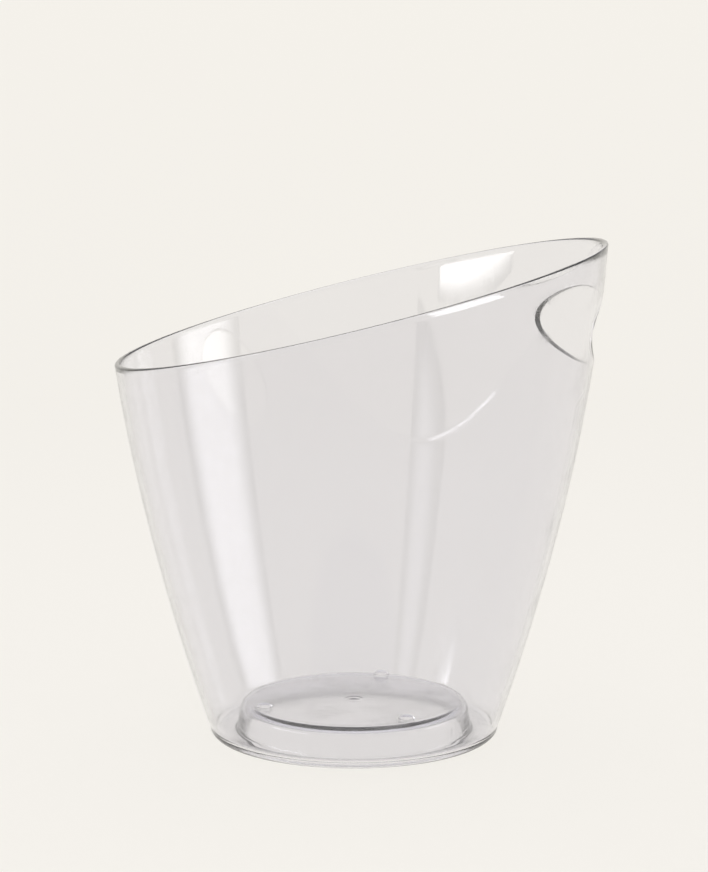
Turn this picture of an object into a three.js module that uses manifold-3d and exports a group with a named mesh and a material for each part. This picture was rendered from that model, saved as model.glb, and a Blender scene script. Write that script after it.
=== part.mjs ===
// Clear plastic champagne bucket with a slanted rim and one finger slot.
// Millimetres, +Z up. The foot stands on z = 0, and the high side of the rim faces +X.
// The origin is the bottom centre of the overall box.
import * as THREE from 'three';
import { mergeVertices } from 'three/addons/utils/BufferGeometryUtils.js';
import Module from 'manifold-3d';

const wasm = await Module();
wasm.setup();

// Outside of the wall. It is round at every height, and only the slanted rim makes the mouth oval.
const FOOT_R = 71; // radius where the wall's curve meets the table
const MOUTH_R = 124.6; // radius that the flare reaches at FLARE_TOP
const FLARE_TOP = 270; // height at which the wall would stand upright, just above the rim
const FLARE_POWER = 1.73; // how soon the wall opens
const WALL = 2.8; // wall thickness
const MOULD_TOP = 258; // the wall is made this high, and the slanted cut takes the rest away
const FOOT_CENTRE_X = -3.15; // the high side overhangs the foot more than the low side does

// Rim: one flat slanted cut.
const RIM_AXIS_Z = 215.2; // height of the rim's plane above the middle of the foot
const RIM_SLOPE = 0.249; // rise per millimetre towards the high side

// Finger slot: an upright ellipse cut along X through the high side only.
const SLOT_Z = 203.4;
const SLOT_HALF_WIDTH = 53.9;
const SLOT_HALF_HEIGHT = 18.5;
const SLOT_INNER_X = 60;
const SLOT_OUTER_X = 160;

// Foot ring, moat and raised floor.
const FOOT_CORNER_R = 4;
const RING_INNER_R = 57.2; // inner edge of the flat land that the bucket stands on
const RECESS_FOOT_R = 55.7; // inside of the raised floor's skirt, at the ring and at its top
const RECESS_TOP_R = 54.6;
const RECESS_EASE = 1.5; // eased edge between the ring and the skirt
const RECESS_CORNER_R = 2.2;
const MOAT_Z = 3; // floor of the moat between the wall and the raised floor
const MOAT_CORNER_R = 3;
const SKIRT_FOOT_R = 58.7; // outside of the raised floor's skirt, at the moat and at its shoulder
const SKIRT_TOP_R = 57.4;
const SKIRT_EASE = 1.5;
const FLOOR_Z = 16.4; // top of the raised floor
const SHOULDER_R = 5;

// Three clear bumpers that the bottle stands on.
const PAD_R = 4;
const PAD_EDGE_H = 0.8; // height of the bumper's straight edge, below its dome
const PAD_H = 2.6;
const PAD_CIRCLE_R = 48.2;
const PAD_GAP = 0.3;
const PAD_ANGLES = [65, 196, 294]; // unevenly spaced, as stuck on by hand

const AROUND = 72; // facets around the bucket
const WALL_STEPS = 8;
const PAD_AROUND = 24;
const SLOT_SEGMENTS = 56;

const clearPlastic = () => new THREE.MeshStandardMaterial({
  color: 0xe4e3e6, roughness: 0.06, metalness: 0, transparent: true, opacity: 0.35,
});
const padPlastic = () => new THREE.MeshStandardMaterial({
  color: 0xececea, roughness: 0.2, metalness: 0, transparent: true, opacity: 0.5,
});

const wallR = (z) => FOOT_R + (MOUTH_R - FOOT_R) * (1 - (1 - z / FLARE_TOP) ** FLARE_POWER);

// Points on a quarter circle about (r, z), from one angle to the other, in degrees.
function arc(r, z, radius, fromDeg, toDeg, steps) {
  const points = [];
  for (let i = 0; i <= steps; i += 1) {
    const angle = THREE.MathUtils.degToRad(fromDeg + (toDeg - fromDeg) * i / steps);
    points.push(new THREE.Vector2(r + radius * Math.cos(angle), z + radius * Math.sin(angle)));
  }
  return points;
}

// The wall's line between two heights, moved inwards by inset.
function wallLine(fromZ, toZ, inset) {
  const points = [];
  for (let i = 0; i <= WALL_STEPS; i += 1) {
    const z = fromZ + (toZ - fromZ) * i / WALL_STEPS;
    points.push(new THREE.Vector2(wallR(z) - inset, z));
  }
  return points;
}

// The bucket's section: under the floor, out over the foot ring, up the
// outside, down the inside, through the moat and over the raised floor, back to the axis.
function bucketSection() {
  const recessTop = FLOOR_Z - WALL;
  const moatTop = MOAT_Z + MOAT_CORNER_R;
  const footCentre = wallR(FOOT_CORNER_R) - FOOT_CORNER_R;
  const moatCentre = wallR(moatTop) - WALL - MOAT_CORNER_R;
  return [
    new THREE.Vector2(0, recessTop),
    ...arc(RECESS_TOP_R - RECESS_CORNER_R, recessTop - RECESS_CORNER_R, RECESS_CORNER_R, 90, 0, 2),
    new THREE.Vector2(RECESS_FOOT_R, RECESS_EASE),
    new THREE.Vector2(RING_INNER_R, 0),
    ...arc(footCentre, FOOT_CORNER_R, FOOT_CORNER_R, -90, 0, 3).slice(0, -1),
    ...wallLine(FOOT_CORNER_R, MOULD_TOP, 0),
    ...wallLine(MOULD_TOP, moatTop, WALL),
    ...arc(moatCentre, moatTop, MOAT_CORNER_R, 0, -90, 3).slice(1),
    new THREE.Vector2(SKIRT_FOOT_R + SKIRT_EASE, MOAT_Z),
    new THREE.Vector2(SKIRT_FOOT_R, MOAT_Z + SKIRT_EASE),
    ...arc(SKIRT_TOP_R - SHOULDER_R, FLOOR_Z - SHOULDER_R, SHOULDER_R, 0, 90, 4),
    new THREE.Vector2(0, FLOOR_Z),
  ];
}

// A section turned about the Z axis, as one closed mesh.
function turned(section, segments) {
  const geometry = new THREE.LatheGeometry(section, segments);
  geometry.rotateX(Math.PI / 2);
  return closed(geometry);
}

// Shared vertices merged, and the flat triangles that merging leaves on the axis dropped.
function closed(geometry) {
  geometry.deleteAttribute('normal');
  geometry.deleteAttribute('uv');
  const merged = mergeVertices(geometry, 1e-4);
  const { array } = merged.index;
  const kept = [];
  for (let i = 0; i < array.length; i += 3) {
    const [a, b, c] = array.slice(i, i + 3);
    if (a !== b && b !== c && c !== a) kept.push(a, b, c);
  }
  merged.setIndex(kept);
  return merged;
}

function toSolid(geometry) {
  const vertProperties = new Float32Array(geometry.attributes.position.array);
  const triVerts = new Uint32Array(geometry.index.array);
  return new wasm.Manifold(new wasm.Mesh({ numProp: 3, vertProperties, triVerts }));
}

function toGeometry(solid) {
  const mesh = solid.getMesh();
  const geometry = new THREE.BufferGeometry();
  geometry.setAttribute('position', new THREE.BufferAttribute(mesh.vertProperties, 3));
  geometry.setIndex(new THREE.BufferAttribute(mesh.triVerts, 1));
  geometry.computeVertexNormals();
  return geometry;
}

// Everything above the rim's slanted plane.
function aboveRim() {
  const side = 4 * MOUTH_R;
  const box = new THREE.BoxGeometry(side, side, FLARE_TOP);
  box.translate(0, 0, FLARE_TOP / 2);
  box.rotateY(-Math.atan(RIM_SLOPE));
  box.translate(0, 0, RIM_AXIS_Z);
  return closed(box);
}

function fingerSlot() {
  const outline = new THREE.Shape();
  outline.absellipse(0, 0, SLOT_HALF_WIDTH, SLOT_HALF_HEIGHT, 0, 2 * Math.PI, false, 0);
  const slot = new THREE.ExtrudeGeometry(outline, {
    depth: SLOT_OUTER_X - SLOT_INNER_X, bevelEnabled: false, curveSegments: SLOT_SEGMENTS,
  });
  slot.rotateX(Math.PI / 2);
  slot.rotateZ(Math.PI / 2);
  slot.translate(SLOT_INNER_X, 0, SLOT_Z);
  return closed(slot);
}

function bucketBody() {
  const mould = toSolid(turned(bucketSection(), AROUND));
  const body = mould.subtract(toSolid(aboveRim())).subtract(toSolid(fingerSlot()));
  const mesh = new THREE.Mesh(toGeometry(body), clearPlastic());
  mesh.name = 'bucket_body';
  return mesh;
}

function floorPad(index, angleDeg) {
  const rise = PAD_H - PAD_EDGE_H;
  const domeR = (PAD_R ** 2 + rise ** 2) / (2 * rise);
  const edgeDeg = THREE.MathUtils.radToDeg(Math.acos(PAD_R / domeR));
  const section = [
    new THREE.Vector2(0, 0),
    new THREE.Vector2(PAD_R, 0),
    ...arc(0, PAD_H - domeR, domeR, edgeDeg, 90, 4).slice(0, -1),
    new THREE.Vector2(0, PAD_H),
  ];
  const mesh = new THREE.Mesh(turned(section, PAD_AROUND), padPlastic());
  const angle = THREE.MathUtils.degToRad(angleDeg);
  mesh.position.set(PAD_CIRCLE_R * Math.cos(angle), PAD_CIRCLE_R * Math.sin(angle), FLOOR_Z + PAD_GAP);
  mesh.name = `floor_pad_${index + 1}`;
  return mesh;
}

const group = new THREE.Group();
group.position.x = FOOT_CENTRE_X;
group.add(bucketBody());
PAD_ANGLES.forEach((angleDeg, index) => group.add(floorPad(index, angleDeg)));

export default group;
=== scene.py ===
import math

import bmesh
import bpy
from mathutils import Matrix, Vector


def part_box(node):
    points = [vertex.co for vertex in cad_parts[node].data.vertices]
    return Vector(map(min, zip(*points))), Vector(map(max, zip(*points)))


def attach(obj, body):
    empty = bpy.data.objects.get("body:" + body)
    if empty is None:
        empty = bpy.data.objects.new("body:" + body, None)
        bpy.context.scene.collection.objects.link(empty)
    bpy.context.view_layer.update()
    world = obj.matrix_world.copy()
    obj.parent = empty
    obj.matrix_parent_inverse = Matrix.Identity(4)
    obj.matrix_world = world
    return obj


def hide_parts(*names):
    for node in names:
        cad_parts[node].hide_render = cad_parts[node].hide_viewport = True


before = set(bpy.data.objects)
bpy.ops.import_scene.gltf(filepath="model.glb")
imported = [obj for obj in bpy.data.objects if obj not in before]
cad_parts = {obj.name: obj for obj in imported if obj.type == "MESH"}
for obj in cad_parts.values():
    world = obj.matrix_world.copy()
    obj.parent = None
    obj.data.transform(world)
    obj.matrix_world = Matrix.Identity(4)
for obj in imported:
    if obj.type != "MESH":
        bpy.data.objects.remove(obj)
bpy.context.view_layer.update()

PADS = ("floor_pad_1", "floor_pad_2", "floor_pad_3")


# The high side overhangs the foot more than the low side does, so the foot's axis is off the middle.
FOOT_AXIS = Vector((-0.00315, 0, 0))

# Outside of the wall, round at every height.
FOOT_R = 0.071
MOUTH_R = 0.1244  # radius that the flare reaches at FLARE_TOP, a hair inside the CAD body's
FLARE_TOP = 0.27
FLARE_POWER = 1.73  # how soon the wall opens
WALL = 0.0028

# Rim: a slanted plane with rounded edges.
RIM_AXIS_Z = 0.2152
RIM_SLOPE = 0.249
RIM_EDGE_R = 0.0009

# Finger slot: an upright ellipse cut along X through the high side, with eased edges.
SLOT_Z = 0.2034
SLOT_HALF_WIDTH = 0.0539
SLOT_HALF_HEIGHT = 0.0185
SLOT_EDGE_R = 0.0005

# Foot ring, moat and raised floor.
FOOT_CORNER_R = 0.004
RING_INNER_R = 0.0572
RECESS_FOOT_R = 0.0557
RECESS_TOP_R = 0.0546
RECESS_EASE = 0.0015
RECESS_CORNER_R = 0.0022
MOAT_Z = 0.003
MOAT_CORNER_R = 0.003
SKIRT_FOOT_R = 0.0587
SKIRT_TOP_R = 0.0574
SKIRT_EASE = 0.0015
FLOOR_Z = 0.0164
SHOULDER_R = 0.005
GATE_R = 0.0022  # the moulding gate's nub, in the middle of the raised floor
GATE_H = 0.0002

# Mesh fineness.
SLOT_COLUMN_DEG = 1
COLUMN_DEG = 2
SLOT_BLOCK_DEG = 32  # the wall's grid is opened over this angle each side of the slot
SLOT_BLOCK_LOW = 0.7  # and between these shares of the wall's height
SLOT_BLOCK_HIGH = 0.945
ROWS_BELOW_BLOCK = 44
ROWS_IN_BLOCK = 24
ROWS_ABOVE_BLOCK = 4
SLOT_RINGS = 8
RING_CROWDING = 1.3  # draws the rings towards the slot's edge
PAD_SEGMENTS = 48
STAGE_SEGMENTS = 96


# ---------------------------------------------------------------- shape of the bucket

def wall_r(z):
    return FOOT_R + (MOUTH_R - FOOT_R) * (1 - (1 - z / FLARE_TOP) ** FLARE_POWER)


def on_circle(r, z, phi):
    """A point of the section at radius r and height z, turned to phi."""
    return Vector((r * math.cos(phi), r * math.sin(phi), z))


def on_wall(phi, z, inset):
    return on_circle(wall_r(z) - inset, z, phi)


def rim_height(phi, inset, depth):
    """Height at which the wall, moved inwards by inset, is depth below the rim's plane."""
    z = RIM_AXIS_Z
    for _ in range(12):
        x = on_wall(phi, z, inset).x
        z = RIM_AXIS_Z - depth + RIM_SLOPE * x
    return z


def on_rim(phi, inset, depth):
    return on_wall(phi, rim_height(phi, inset, depth), inset)


def arc(r, z, radius, from_deg, to_deg, steps):
    """Section points on a circle about (r, z)."""
    turn = [math.radians(from_deg + (to_deg - from_deg) * i / steps) for i in range(steps + 1)]
    return [(r + radius * math.cos(a), z + radius * math.sin(a)) for a in turn]


def line(start, end, steps):
    """Section points after start, up to end."""
    return [
        (start[0] + (end[0] - start[0]) * i / steps, start[1] + (end[1] - start[1]) * i / steps)
        for i in range(1, steps + 1)
    ]


def wall_shares():
    """Shares of the wall's height at which it has a row of points, closer beside the slot."""
    below = [SLOT_BLOCK_LOW * i / ROWS_BELOW_BLOCK for i in range(ROWS_BELOW_BLOCK)]
    block = SLOT_BLOCK_HIGH - SLOT_BLOCK_LOW
    beside = [SLOT_BLOCK_LOW + block * i / ROWS_IN_BLOCK for i in range(ROWS_IN_BLOCK)]
    rest = 1 - SLOT_BLOCK_HIGH
    above = [SLOT_BLOCK_HIGH + rest * i / ROWS_ABOVE_BLOCK for i in range(ROWS_ABOVE_BLOCK + 1)]
    return below + beside + above


def edge_rounding(radius, steps):
    """(inset, depth) of a quarter circle that rounds an edge, from the face to the top."""
    turn = [math.pi / 2 * i / steps for i in range(steps + 1)]
    return [(radius * (1 - math.cos(a)), radius * (1 - math.sin(a))) for a in turn]


def underside():
    """Section points from the middle of the recess out to the wall's foot."""
    recess_top = FLOOR_Z - WALL
    corner = (RECESS_TOP_R - RECESS_CORNER_R, recess_top)
    skirt_top = (RECESS_TOP_R, recess_top - RECESS_CORNER_R)
    skirt_foot = (RECESS_FOOT_R, RECESS_EASE)
    foot_centre = wall_r(FOOT_CORNER_R) - FOOT_CORNER_R
    points = line((0, recess_top), corner, 14)
    points += arc(corner[0], skirt_top[1], RECESS_CORNER_R, 90, 0, 6)[1:]
    points += line(skirt_top, skirt_foot, 4)
    points += arc(RING_INNER_R, RECESS_EASE, RECESS_EASE, 180, 270, 4)[1:]
    points += line((RING_INNER_R, 0), (foot_centre, 0), 3)
    points += arc(foot_centre, FOOT_CORNER_R, FOOT_CORNER_R, -90, 0, 8)[1:-1]
    return points


def gate_height(r):
    """Rise of the floor about its middle, where the moulding gate left a small nub in a dish."""
    nub = GATE_H * math.exp(-(r / (GATE_R * 0.5)) ** 4)
    dish = -GATE_H * 0.5 * math.exp(-((r - GATE_R * 1.5) / (GATE_R * 0.4)) ** 2)
    return nub + dish


def inside():
    """Section points from the wall's inside foot, through the moat and over the raised floor."""
    moat_top = MOAT_Z + MOAT_CORNER_R
    moat_centre = wall_r(moat_top) - WALL - MOAT_CORNER_R
    shoulder = (SKIRT_TOP_R - SHOULDER_R, FLOOR_Z - SHOULDER_R)
    ease = (SKIRT_FOOT_R + SKIRT_EASE, MOAT_Z + SKIRT_EASE)
    points = arc(moat_centre, moat_top, MOAT_CORNER_R, 0, -90, 6)[1:]
    points += line((moat_centre, MOAT_Z), (ease[0], MOAT_Z), 2)
    points += arc(ease[0], ease[1], SKIRT_EASE, 270, 180, 5)[1:]
    points += line((SKIRT_FOOT_R, ease[1]), (SKIRT_TOP_R, shoulder[1]), 4)
    points += arc(shoulder[0], shoulder[1], SHOULDER_R, 0, 90, 12)[1:]
    points += line((shoulder[0], FLOOR_Z), (GATE_R * 3, FLOOR_Z), 10)
    middle_rings = [GATE_R * 3 * (1 - i / 16) for i in range(1, 16)]
    points += [(r, FLOOR_Z + gate_height(r)) for r in middle_rings]
    return points


def column_angles():
    fine = range(-SLOT_BLOCK_DEG, SLOT_BLOCK_DEG, SLOT_COLUMN_DEG)
    coarse = range(SLOT_BLOCK_DEG, 360 - SLOT_BLOCK_DEG, COLUMN_DEG)
    return [math.radians(a) for a in [*fine, *coarse]]


def body_rows():
    """The closed section as rows: each is a function from a column's angle to a point."""
    rows = [lambda phi, p=p: on_circle(p[0], p[1], phi) for p in underside()]
    shares = wall_shares()
    outer_start = len(rows)
    for share in shares:
        rows.append(lambda phi, s=share: wall_row(phi, s, 0, FOOT_CORNER_R))
    rounding = edge_rounding(RIM_EDGE_R, 5)
    rows += [lambda phi, e=e: on_rim(phi, e[0], e[1]) for e in rounding[1:]]
    rows.append(lambda phi: on_rim(phi, WALL / 2, 0))
    rows += [lambda phi, e=e: on_rim(phi, WALL - e[0], e[1]) for e in rounding[:0:-1]]
    inner_start = len(rows)
    for share in reversed(shares):
        rows.append(lambda phi, s=share: wall_row(phi, s, WALL, MOAT_Z + MOAT_CORNER_R))
    rows += [lambda phi, p=p: on_circle(p[0], p[1], phi) for p in inside()]
    return rows, outer_start, inner_start


def wall_row(phi, share, inset, foot_z):
    top = rim_height(phi, inset, RIM_EDGE_R)
    return on_wall(phi, foot_z + (top - foot_z) * share, inset)


def slot_point(turn, offset, inset):
    """A point round the slot: offset outwards in the YZ plane, on the wall moved in by inset."""
    normal = Vector((math.cos(turn) / SLOT_HALF_WIDTH, math.sin(turn) / SLOT_HALF_HEIGHT)).normalized()
    y = SLOT_HALF_WIDTH * math.cos(turn) + normal[0] * offset
    z = SLOT_Z + SLOT_HALF_HEIGHT * math.sin(turn) + normal[1] * offset
    phi = math.asin(y / (wall_r(z) - inset))
    return phi, z


def slot_profile():
    """(offset, inset) round the slot's edge, from the wall's outside to its inside."""
    rounding = edge_rounding(SLOT_EDGE_R, 4)
    outer = [(depth, inset) for inset, depth in rounding]
    inner = [(depth, WALL - inset) for inset, depth in reversed(rounding)]
    return outer + [(0, WALL / 2)] + inner


class Skin:
    """Vertices and faces of one closed mesh, gathered a grid at a time."""

    def __init__(self):
        self.points = []
        self.faces = []

    def add(self, point):
        self.points.append(point)
        return len(self.points) - 1

    def strip(self, first, second):
        """Quads between two closed loops of the same length."""
        for i in range(len(first)):
            j = (i + 1) % len(first)
            self.faces.append((first[i], first[j], second[j], second[i]))

    def object(self, name, place):
        mesh = bpy.data.meshes.new(name)
        mesh.from_pydata([point + place for point in self.points], [], self.faces)
        work = bmesh.new()
        work.from_mesh(mesh)
        bmesh.ops.recalc_face_normals(work, faces=work.faces)
        work.to_mesh(mesh)
        work.free()
        mesh.shade_smooth()
        piece = bpy.data.objects.new(name, mesh)
        bpy.context.scene.collection.objects.link(piece)
        return piece


def turned_loops(skin, section, segments):
    """Loops about the Z axis, one for each (radius, height) of a section, joined by quads."""
    turns = [2 * math.pi * i / segments for i in range(segments)]
    loops = [
        [skin.add(Vector((r * math.cos(a), r * math.sin(a), z))) for a in turns]
        for r, z in section
    ]
    for below, above in zip(loops, loops[1:]):
        skin.strip(below, above)
    return loops


def block_loop(grid, rows, columns):
    """The grid's vertices round the opened block, once round."""
    low, high = rows
    first, last = columns
    loop = [grid[low][c] for c in range(first, last)]
    loop += [grid[r][last] for r in range(low, high)]
    loop += [grid[high][c] for c in range(last, first, -1)]
    loop += [grid[r][first] for r in range(high, low, -1)]
    return loop


def slot_turn(point):
    return math.atan2((point.z - SLOT_Z) / SLOT_HALF_HEIGHT, point.y / SLOT_HALF_WIDTH)


def open_slot(skin, outer_loop, inner_loop):
    """Joins the block's loops on the two faces of the wall round the finger slot."""
    turns = [slot_turn(skin.points[v]) for v in outer_loop]
    profile = slot_profile()

    def surface_rings(loop, offset, inset):
        rings = [loop]
        for k in range(1, SLOT_RINGS):
            share = (1 - k / SLOT_RINGS) ** RING_CROWDING
            ring = []
            for v, turn in zip(loop, turns):
                there = skin.points[v]
                here_phi, here_z = slot_point(turn, offset, inset)
                there_phi = math.atan2(there.y, there.x)
                phi = here_phi + (there_phi - here_phi) * share
                z = here_z + (there.z - here_z) * share
                ring.append(skin.add(on_wall(phi, z, inset)))
            rings.append(ring)
        return rings

    tunnel = []
    for offset, inset in profile:
        tunnel.append([skin.add(on_wall(*slot_point(turn, offset, inset), inset)) for turn in turns])
    outer = surface_rings(outer_loop, *profile[0])
    inner = surface_rings(inner_loop, *profile[-1])
    loops = outer + tunnel + inner[::-1]
    for first, second in zip(loops, loops[1:]):
        skin.strip(first, second)


def bucket_mesh():
    skin = Skin()
    angles = column_angles()
    rows, outer_start, inner_start = body_rows()
    shares = wall_shares()
    low = shares.index(SLOT_BLOCK_LOW)
    high = shares.index(SLOT_BLOCK_HIGH)
    first, last = 0, 2 * SLOT_BLOCK_DEG // SLOT_COLUMN_DEG
    outer_rows = (outer_start + low, outer_start + high)
    inner_end = inner_start + len(shares) - 1
    inner_rows = (inner_end - high, inner_end - low)

    def in_block(r, c):
        return any(a < r < b for a, b in (outer_rows, inner_rows)) and first < c < last

    grid = [
        [None if in_block(r, c) else skin.add(row(phi)) for c, phi in enumerate(angles)]
        for r, row in enumerate(rows)
    ]
    count = len(angles)
    for r in range(len(rows) - 1):
        opened_row = any(a <= r < b for a, b in (outer_rows, inner_rows))
        for c in range(count):
            if opened_row and first <= c < last:
                continue
            d = (c + 1) % count
            skin.faces.append((grid[r][c], grid[r][d], grid[r + 1][d], grid[r + 1][c]))
    for ring, z in ((grid[0], FLOOR_Z - WALL), (grid[-1], FLOOR_Z + gate_height(0))):
        pole = skin.add(Vector((0, 0, z)))
        for c in range(count):
            skin.faces.append((ring[c], ring[(c + 1) % count], pole))
    outer_loop = block_loop(grid, outer_rows, (first, last))
    # The inner rows run downwards, so the block is read from its other end to match.
    inner_loop = block_loop(grid[::-1], [len(grid) - 1 - r for r in inner_rows[::-1]], (first, last))
    open_slot(skin, outer_loop, inner_loop)
    return skin


def pad_mesh(radius, height):
    """A clear bumper: a flat foot, a short straight edge and a dome."""
    skin = Skin()
    edge_h = height * 0.3
    rise = height - edge_h
    dome_r = (radius ** 2 + rise ** 2) / (2 * rise)
    edge_deg = math.degrees(math.acos(radius / dome_r))
    foot_ease = radius * 0.06
    section = line((0, 0), (radius - foot_ease, 0), 4)
    section += arc(radius - foot_ease, foot_ease, foot_ease, -90, 0, 4)[1:]
    section += line((radius, foot_ease), (radius, edge_h), 2)
    section += arc(0, height - dome_r, dome_r, edge_deg, 90, 16)[1:-1]
    loops = turned_loops(skin, section, PAD_SEGMENTS)
    for loop, z in ((loops[0], 0), (loops[-1], height)):
        pole = skin.add(Vector((0, 0, z)))
        for i in range(PAD_SEGMENTS):
            skin.faces.append((loop[i], loop[(i + 1) % PAD_SEGMENTS], pole))
    return skin


# ---------------------------------------------------------------- materials

BODY_IOR = 1.57  # polystyrene
PAD_IOR = 1.46
FLOW_HEIGHT = 0.00004  # waviness that the moulding leaves in the faces
SCRATCH_DEPTH = 0.000004

# How rubbed each part is, and how far the rubbing reaches.
FOOT_WEAR_HEIGHT = 0.002
RIM_WEAR = 0.7
RIM_WEAR_DEPTH = 0.003
SLOT_WEAR_SHARE = 0.06  # of the slot's size
RECESS_WEAR = 0.6


class Nodes:
    """A short way to add and join a material's nodes."""

    def __init__(self, name):
        self.material = bpy.data.materials.new(name)
        self.material.use_nodes = True
        self.tree = self.material.node_tree
        self.tree.nodes.clear()

    def add(self, kind, settings=None, **inputs):
        node = self.tree.nodes.new(kind)
        for key, value in (settings or {}).items():
            setattr(node, key, value)
        for key, value in inputs.items():
            self.feed(node, key.replace("_", " "), value)
        return node

    def feed(self, node, socket, value):
        target = node.inputs[int(socket)] if socket.isdigit() else node.inputs[socket]
        if isinstance(value, bpy.types.NodeSocket):
            self.tree.links.new(value, target)
        else:
            target.default_value = value

    def ramp(self, source, stops):
        """A colour ramp with stops as (place, grey)."""
        node = self.add("ShaderNodeValToRGB", Fac=source)
        elements = node.color_ramp.elements
        while len(elements) < len(stops):
            elements.new(0.5)
        for element, (place, grey) in zip(elements, stops):
            element.position = place
            element.color = (grey, grey, grey, 1)
        return node.outputs["Color"]

    def math(self, operation, first, second):
        node = self.add("ShaderNodeMath", {"operation": operation})
        self.feed(node, "0", first)
        self.feed(node, "1", second)
        return node.outputs["Value"]

    def scratches(self, coordinates, scale, turn, width):
        """Fine straight lines at one angle, as a mask."""
        place = self.add("ShaderNodeMapping", Vector=coordinates, Rotation=turn, Scale=scale)
        noise = self.add(
            "ShaderNodeTexNoise", Vector=place.outputs["Vector"], Scale=1, Detail=2, Roughness=0.6
        )
        away = self.math("ABSOLUTE", self.math("SUBTRACT", noise.outputs["Fac"], 0.5), 0)
        return self.ramp(away, [(0, 1), (width, 0)])


def clear_plastic(name, tint, ior, roughness, wear_roughness):
    """Clear moulded plastic with faint waviness, handling scratches and rubbed edges."""
    nodes = Nodes(name)
    coordinates = nodes.add("ShaderNodeTexCoord").outputs["Object"]
    flow = nodes.add("ShaderNodeTexNoise", Vector=coordinates, Scale=14, Detail=2)
    cloud = nodes.add("ShaderNodeTexNoise", Vector=coordinates, Scale=60, Detail=3)
    wear = nodes.add("ShaderNodeAttribute", {"attribute_name": "wear"}).outputs["Fac"]

    lines = nodes.math(
        "MAXIMUM",
        nodes.scratches(coordinates, (900, 40, 60), (0.3, 0.2, 0.9), 0.012),
        nodes.scratches(coordinates, (50, 1100, 30), (0.9, 0.5, 0.2), 0.010),
    )
    patchy = nodes.ramp(cloud.outputs["Fac"], [(0.45, 0), (0.7, 1)])
    lines = nodes.math("MULTIPLY", lines, patchy)
    worn_lines = nodes.math("MULTIPLY", lines, nodes.math("MULTIPLY_ADD", wear, 3))

    rough = nodes.add("ShaderNodeMapRange", Value=worn_lines, To_Min=roughness, To_Max=wear_roughness)
    soft = nodes.math("MULTIPLY", wear, wear_roughness * 0.6)
    rough = nodes.math("ADD", rough.outputs["Result"], soft)

    shade = nodes.add("ShaderNodeMix", {"data_type": "RGBA"}, Factor=flow.outputs["Fac"])
    shade.inputs["A"].default_value = (*[c * 0.985 for c in tint], 1)
    shade.inputs["B"].default_value = (*tint, 1)

    height = nodes.math("MULTIPLY", flow.outputs["Fac"], FLOW_HEIGHT)
    cut = nodes.math("MULTIPLY", worn_lines, -SCRATCH_DEPTH)
    bump = nodes.add("ShaderNodeBump", Height=nodes.math("ADD", height, cut), Strength=1, Distance=1)

    plastic = nodes.add("ShaderNodeBsdfPrincipled", Base_Color=shade.outputs["Result"], Roughness=rough)
    nodes.feed(plastic, "IOR", ior)
    nodes.feed(plastic, "Transmission Weight", 1.0)
    nodes.feed(plastic, "Normal", bump.outputs["Normal"])

    let_through = nodes.add("ShaderNodeBsdfTransparent", Color=(0.94, 0.94, 0.95, 1))
    path = nodes.add("ShaderNodeLightPath")
    both = nodes.add("ShaderNodeMixShader", Fac=path.outputs["Is Shadow Ray"])
    nodes.feed(both, "1", plastic.outputs["BSDF"])
    nodes.feed(both, "2", let_through.outputs["BSDF"])
    nodes.add("ShaderNodeOutputMaterial", Surface=both.outputs["Shader"])
    return nodes.material


def paint_wear(piece, amount):
    """Stores how rubbed each point is, from 0 to 1, for the material."""
    data = piece.data.attributes.new("wear", "FLOAT", "POINT").data
    for value, vertex in zip(data, piece.data.vertices):
        value.value = amount(vertex.co - FOOT_AXIS)


def body_wear(point):
    """The foot ring is rubbed by tables, and the rim and the slot's edge by hands. The recess under
    the floor is left less polished by its mould."""
    foot = max(0, 1 - point.z / FOOT_WEAR_HEIGHT)
    below_rim = RIM_AXIS_Z + RIM_SLOPE * point.x - point.z
    rim = max(0, 1 - below_rim / RIM_WEAR_DEPTH)
    from_slot = abs(math.hypot(point.y / SLOT_HALF_WIDTH, (point.z - SLOT_Z) / SLOT_HALF_HEIGHT) - 1)
    slot = max(0, 1 - from_slot / SLOT_WEAR_SHARE) if point.x > 0 else 0
    in_recess = point.z < FLOOR_Z - WALL + 0.0001 and math.hypot(point.x, point.y) < RING_INNER_R
    return max(foot, RIM_WEAR * rim, slot, RECESS_WEAR if in_recess else 0)


# ---------------------------------------------------------------- pieces

def make_body():
    body = bucket_mesh().object("bucket_shell", FOOT_AXIS)
    paint_wear(body, body_wear)
    body.data.materials.append(clear_plastic("clear_plastic", (0.908, 0.905, 0.928), BODY_IOR, 0.012, 0.2))
    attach(body, "root")
    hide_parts("bucket_body")


def make_pads():
    soft_plastic = clear_plastic("pad_plastic", (0.95, 0.95, 0.945), PAD_IOR, 0.03, 0.2)
    for i, node in enumerate(PADS):
        low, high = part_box(node)
        centre = (low + high) / 2
        centre.z = low.z
        pad = pad_mesh((high.x - low.x) / 2, high.z - low.z).object(f"bottle_pad_{i + 1}", centre)
        paint_wear(pad, lambda point: max(0, (point.z - FLOOR_Z) / 0.003 - 0.5))
        pad.data.materials.append(soft_plastic)
        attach(pad, "root")
        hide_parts(node)


# ---------------------------------------------------------------- studio

STAGE_R = 1.5  # flat floor, then a cove all round
COVE_R = 0.5
STAGE_TOP = 0.8
CREAM = (0.905, 0.882, 0.83)
PAPER_SHARE = 0.25  # the rest of the floor's brightness is an even glow, so the backdrop has no gradient
GLOW = 0.79
PANEL_DISTANCE = 1.1


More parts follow.
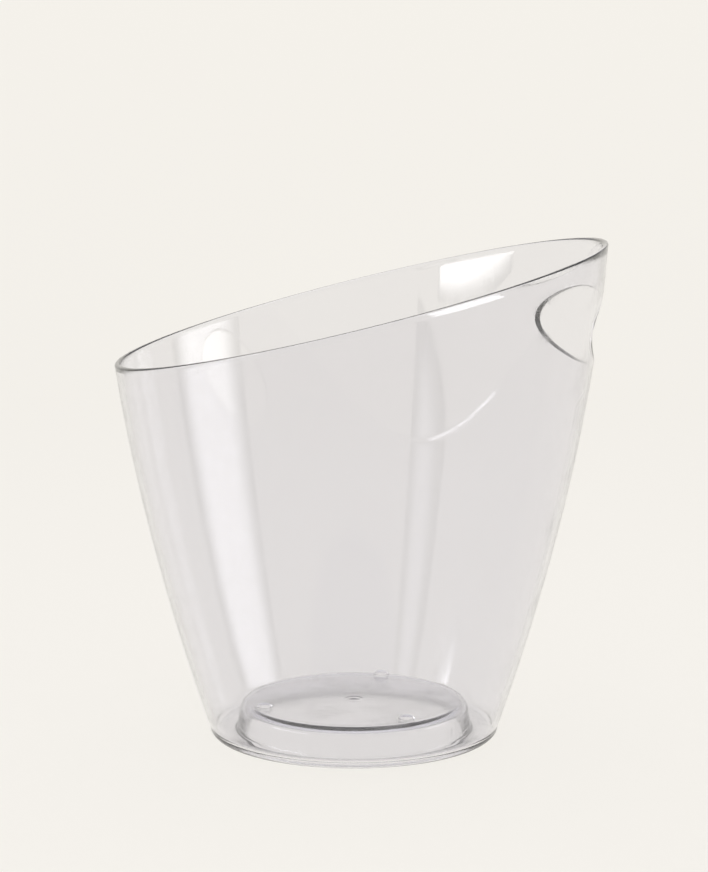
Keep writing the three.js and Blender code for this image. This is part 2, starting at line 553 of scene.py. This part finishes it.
def make_stage():
    """A pale floor that turns up into a wall all round, so no edge shows from any side."""
    skin = Skin()
    section = [(STAGE_R * i / 6, 0) for i in range(1, 7)]
    section += arc(STAGE_R, COVE_R, COVE_R, -90, 0, 24)[1:]
    section += line((STAGE_R + COVE_R, COVE_R), (STAGE_R + COVE_R, STAGE_TOP), 4)
    loops = turned_loops(skin, section, STAGE_SEGMENTS)
    skin.faces.append(tuple(loops[0]))
    stage = skin.object("studio_floor", Vector((0, 0, -0.0001)))
    nodes = Nodes("studio_floor")
    paper = nodes.add("ShaderNodeBsdfDiffuse", Color=(*[c * PAPER_SHARE for c in CREAM], 1))
    glow = nodes.add("ShaderNodeEmission", Color=(*CREAM, 1), Strength=GLOW)
    both = nodes.add("ShaderNodeAddShader")
    nodes.feed(both, "0", paper.outputs["BSDF"])
    nodes.feed(both, "1", glow.outputs["Emission"])
    nodes.add("ShaderNodeOutputMaterial", Surface=both.outputs["Shader"])
    stage.data.materials.append(nodes.material)


def panel(name, azimuth, along, height, size, glow, soft=(0.05, 0.05), tilt=0):
    """An upright glowing sheet facing the foot's axis. Azimuth 0 is on the -Y side, 90 on +X. It is
    moved sideways by along, turned by tilt, and fades over the soft share of its width and height."""
    work = bmesh.new()
    bmesh.ops.create_grid(work, x_segments=1, y_segments=1, size=0.5)
    mesh = bpy.data.meshes.new(name)
    work.to_mesh(mesh)
    work.free()
    sheet = bpy.data.objects.new(name, mesh)
    bpy.context.scene.collection.objects.link(sheet)
    a = math.radians(azimuth)
    outwards = Vector((math.sin(a), -math.cos(a), 0))
    sideways = Vector((math.cos(a), math.sin(a), 0))
    sheet.location = FOOT_AXIS + outwards * PANEL_DISTANCE + sideways * along + Vector((0, 0, height))
    sheet.rotation_euler = (math.pi / 2, math.radians(tilt), a)
    sheet.scale = (*size, 1)
    sheet.visible_camera = False

    nodes = Nodes(name)
    place = nodes.add("ShaderNodeTexCoord").outputs["Object"]
    across = nodes.add("ShaderNodeSeparateXYZ", Vector=place)
    fade = glow
    for axis, share in zip("XY", soft):
        from_edge = nodes.math("SUBTRACT", 0.5, nodes.math("ABSOLUTE", across.outputs[axis], 0))
        rise = nodes.add(
            "ShaderNodeMapRange", {"interpolation_type": "SMOOTHSTEP"}, Value=from_edge, From_Max=share
        )
        fade = nodes.math("MULTIPLY", rise.outputs["Result"], fade)
    light = nodes.add("ShaderNodeEmission", Color=(1, 1, 1, 1), Strength=fade)
    nodes.add("ShaderNodeOutputMaterial", Surface=light.outputs["Emission"])
    mesh.materials.append(nodes.material)


def overhead(height, side, power):
    lamp = bpy.data.lights.new("overhead", "AREA")
    lamp.size = side
    lamp.energy = power
    light = bpy.data.objects.new("overhead", lamp)
    light.location = (0, 0, height)
    light.visible_camera = False
    bpy.context.scene.collection.objects.link(light)


def make_lights():
    # Its top edge slopes as the near rim does, so the far wall shows it only above the near rim.
    panel("left_softbox", -73, -0.02, 0.285, (0.87, 0.16), 5, soft=(0.04, 0.13), tilt=-4.35)
    panel("upper_left_softbox", -73, 0.42, 0.48, (0.5, 0.12), 1.3, soft=(0.4, 0.4))
    panel("right_softbox", 80, 0, 0.34, (0.95, 0.26), 3.2, soft=(0.3, 0.2))
    overhead(1.7, 1.6, 6)
    world = bpy.data.worlds.new("studio")
    world.use_nodes = True
    sky = world.node_tree.nodes["Background"]
    sky.inputs["Color"].default_value = (0.86, 0.84, 0.88, 1)
    sky.inputs["Strength"].default_value = 0.75
    bpy.context.scene.world = world


CAMERA_DISTANCE = 1.0363
CAMERA_AZIMUTH = -7.62  # a little towards the low side
CAMERA_HEIGHT = 0.29
AIM_HEIGHT = 0.149
LENS = 87.28


def make_camera():
    camera = bpy.data.objects.new("camera", bpy.data.cameras.new("camera"))
    a = math.radians(CAMERA_AZIMUTH)
    place = Vector((CAMERA_DISTANCE * math.sin(a), -CAMERA_DISTANCE * math.cos(a), CAMERA_HEIGHT))
    camera.location = FOOT_AXIS + place
    aim = FOOT_AXIS + Vector((0, 0, AIM_HEIGHT)) - camera.location
    camera.rotation_euler = aim.to_track_quat("-Z", "Y").to_euler()
    camera.data.lens = LENS
    camera.data.sensor_width = 36
    camera.data.clip_start = 0.01
    bpy.context.scene.collection.objects.link(camera)
    bpy.context.scene.camera = camera


make_body()
make_pads()
make_stage()
make_lights()
make_camera()
bpy.context.scene.view_settings.view_transform = "Standard"
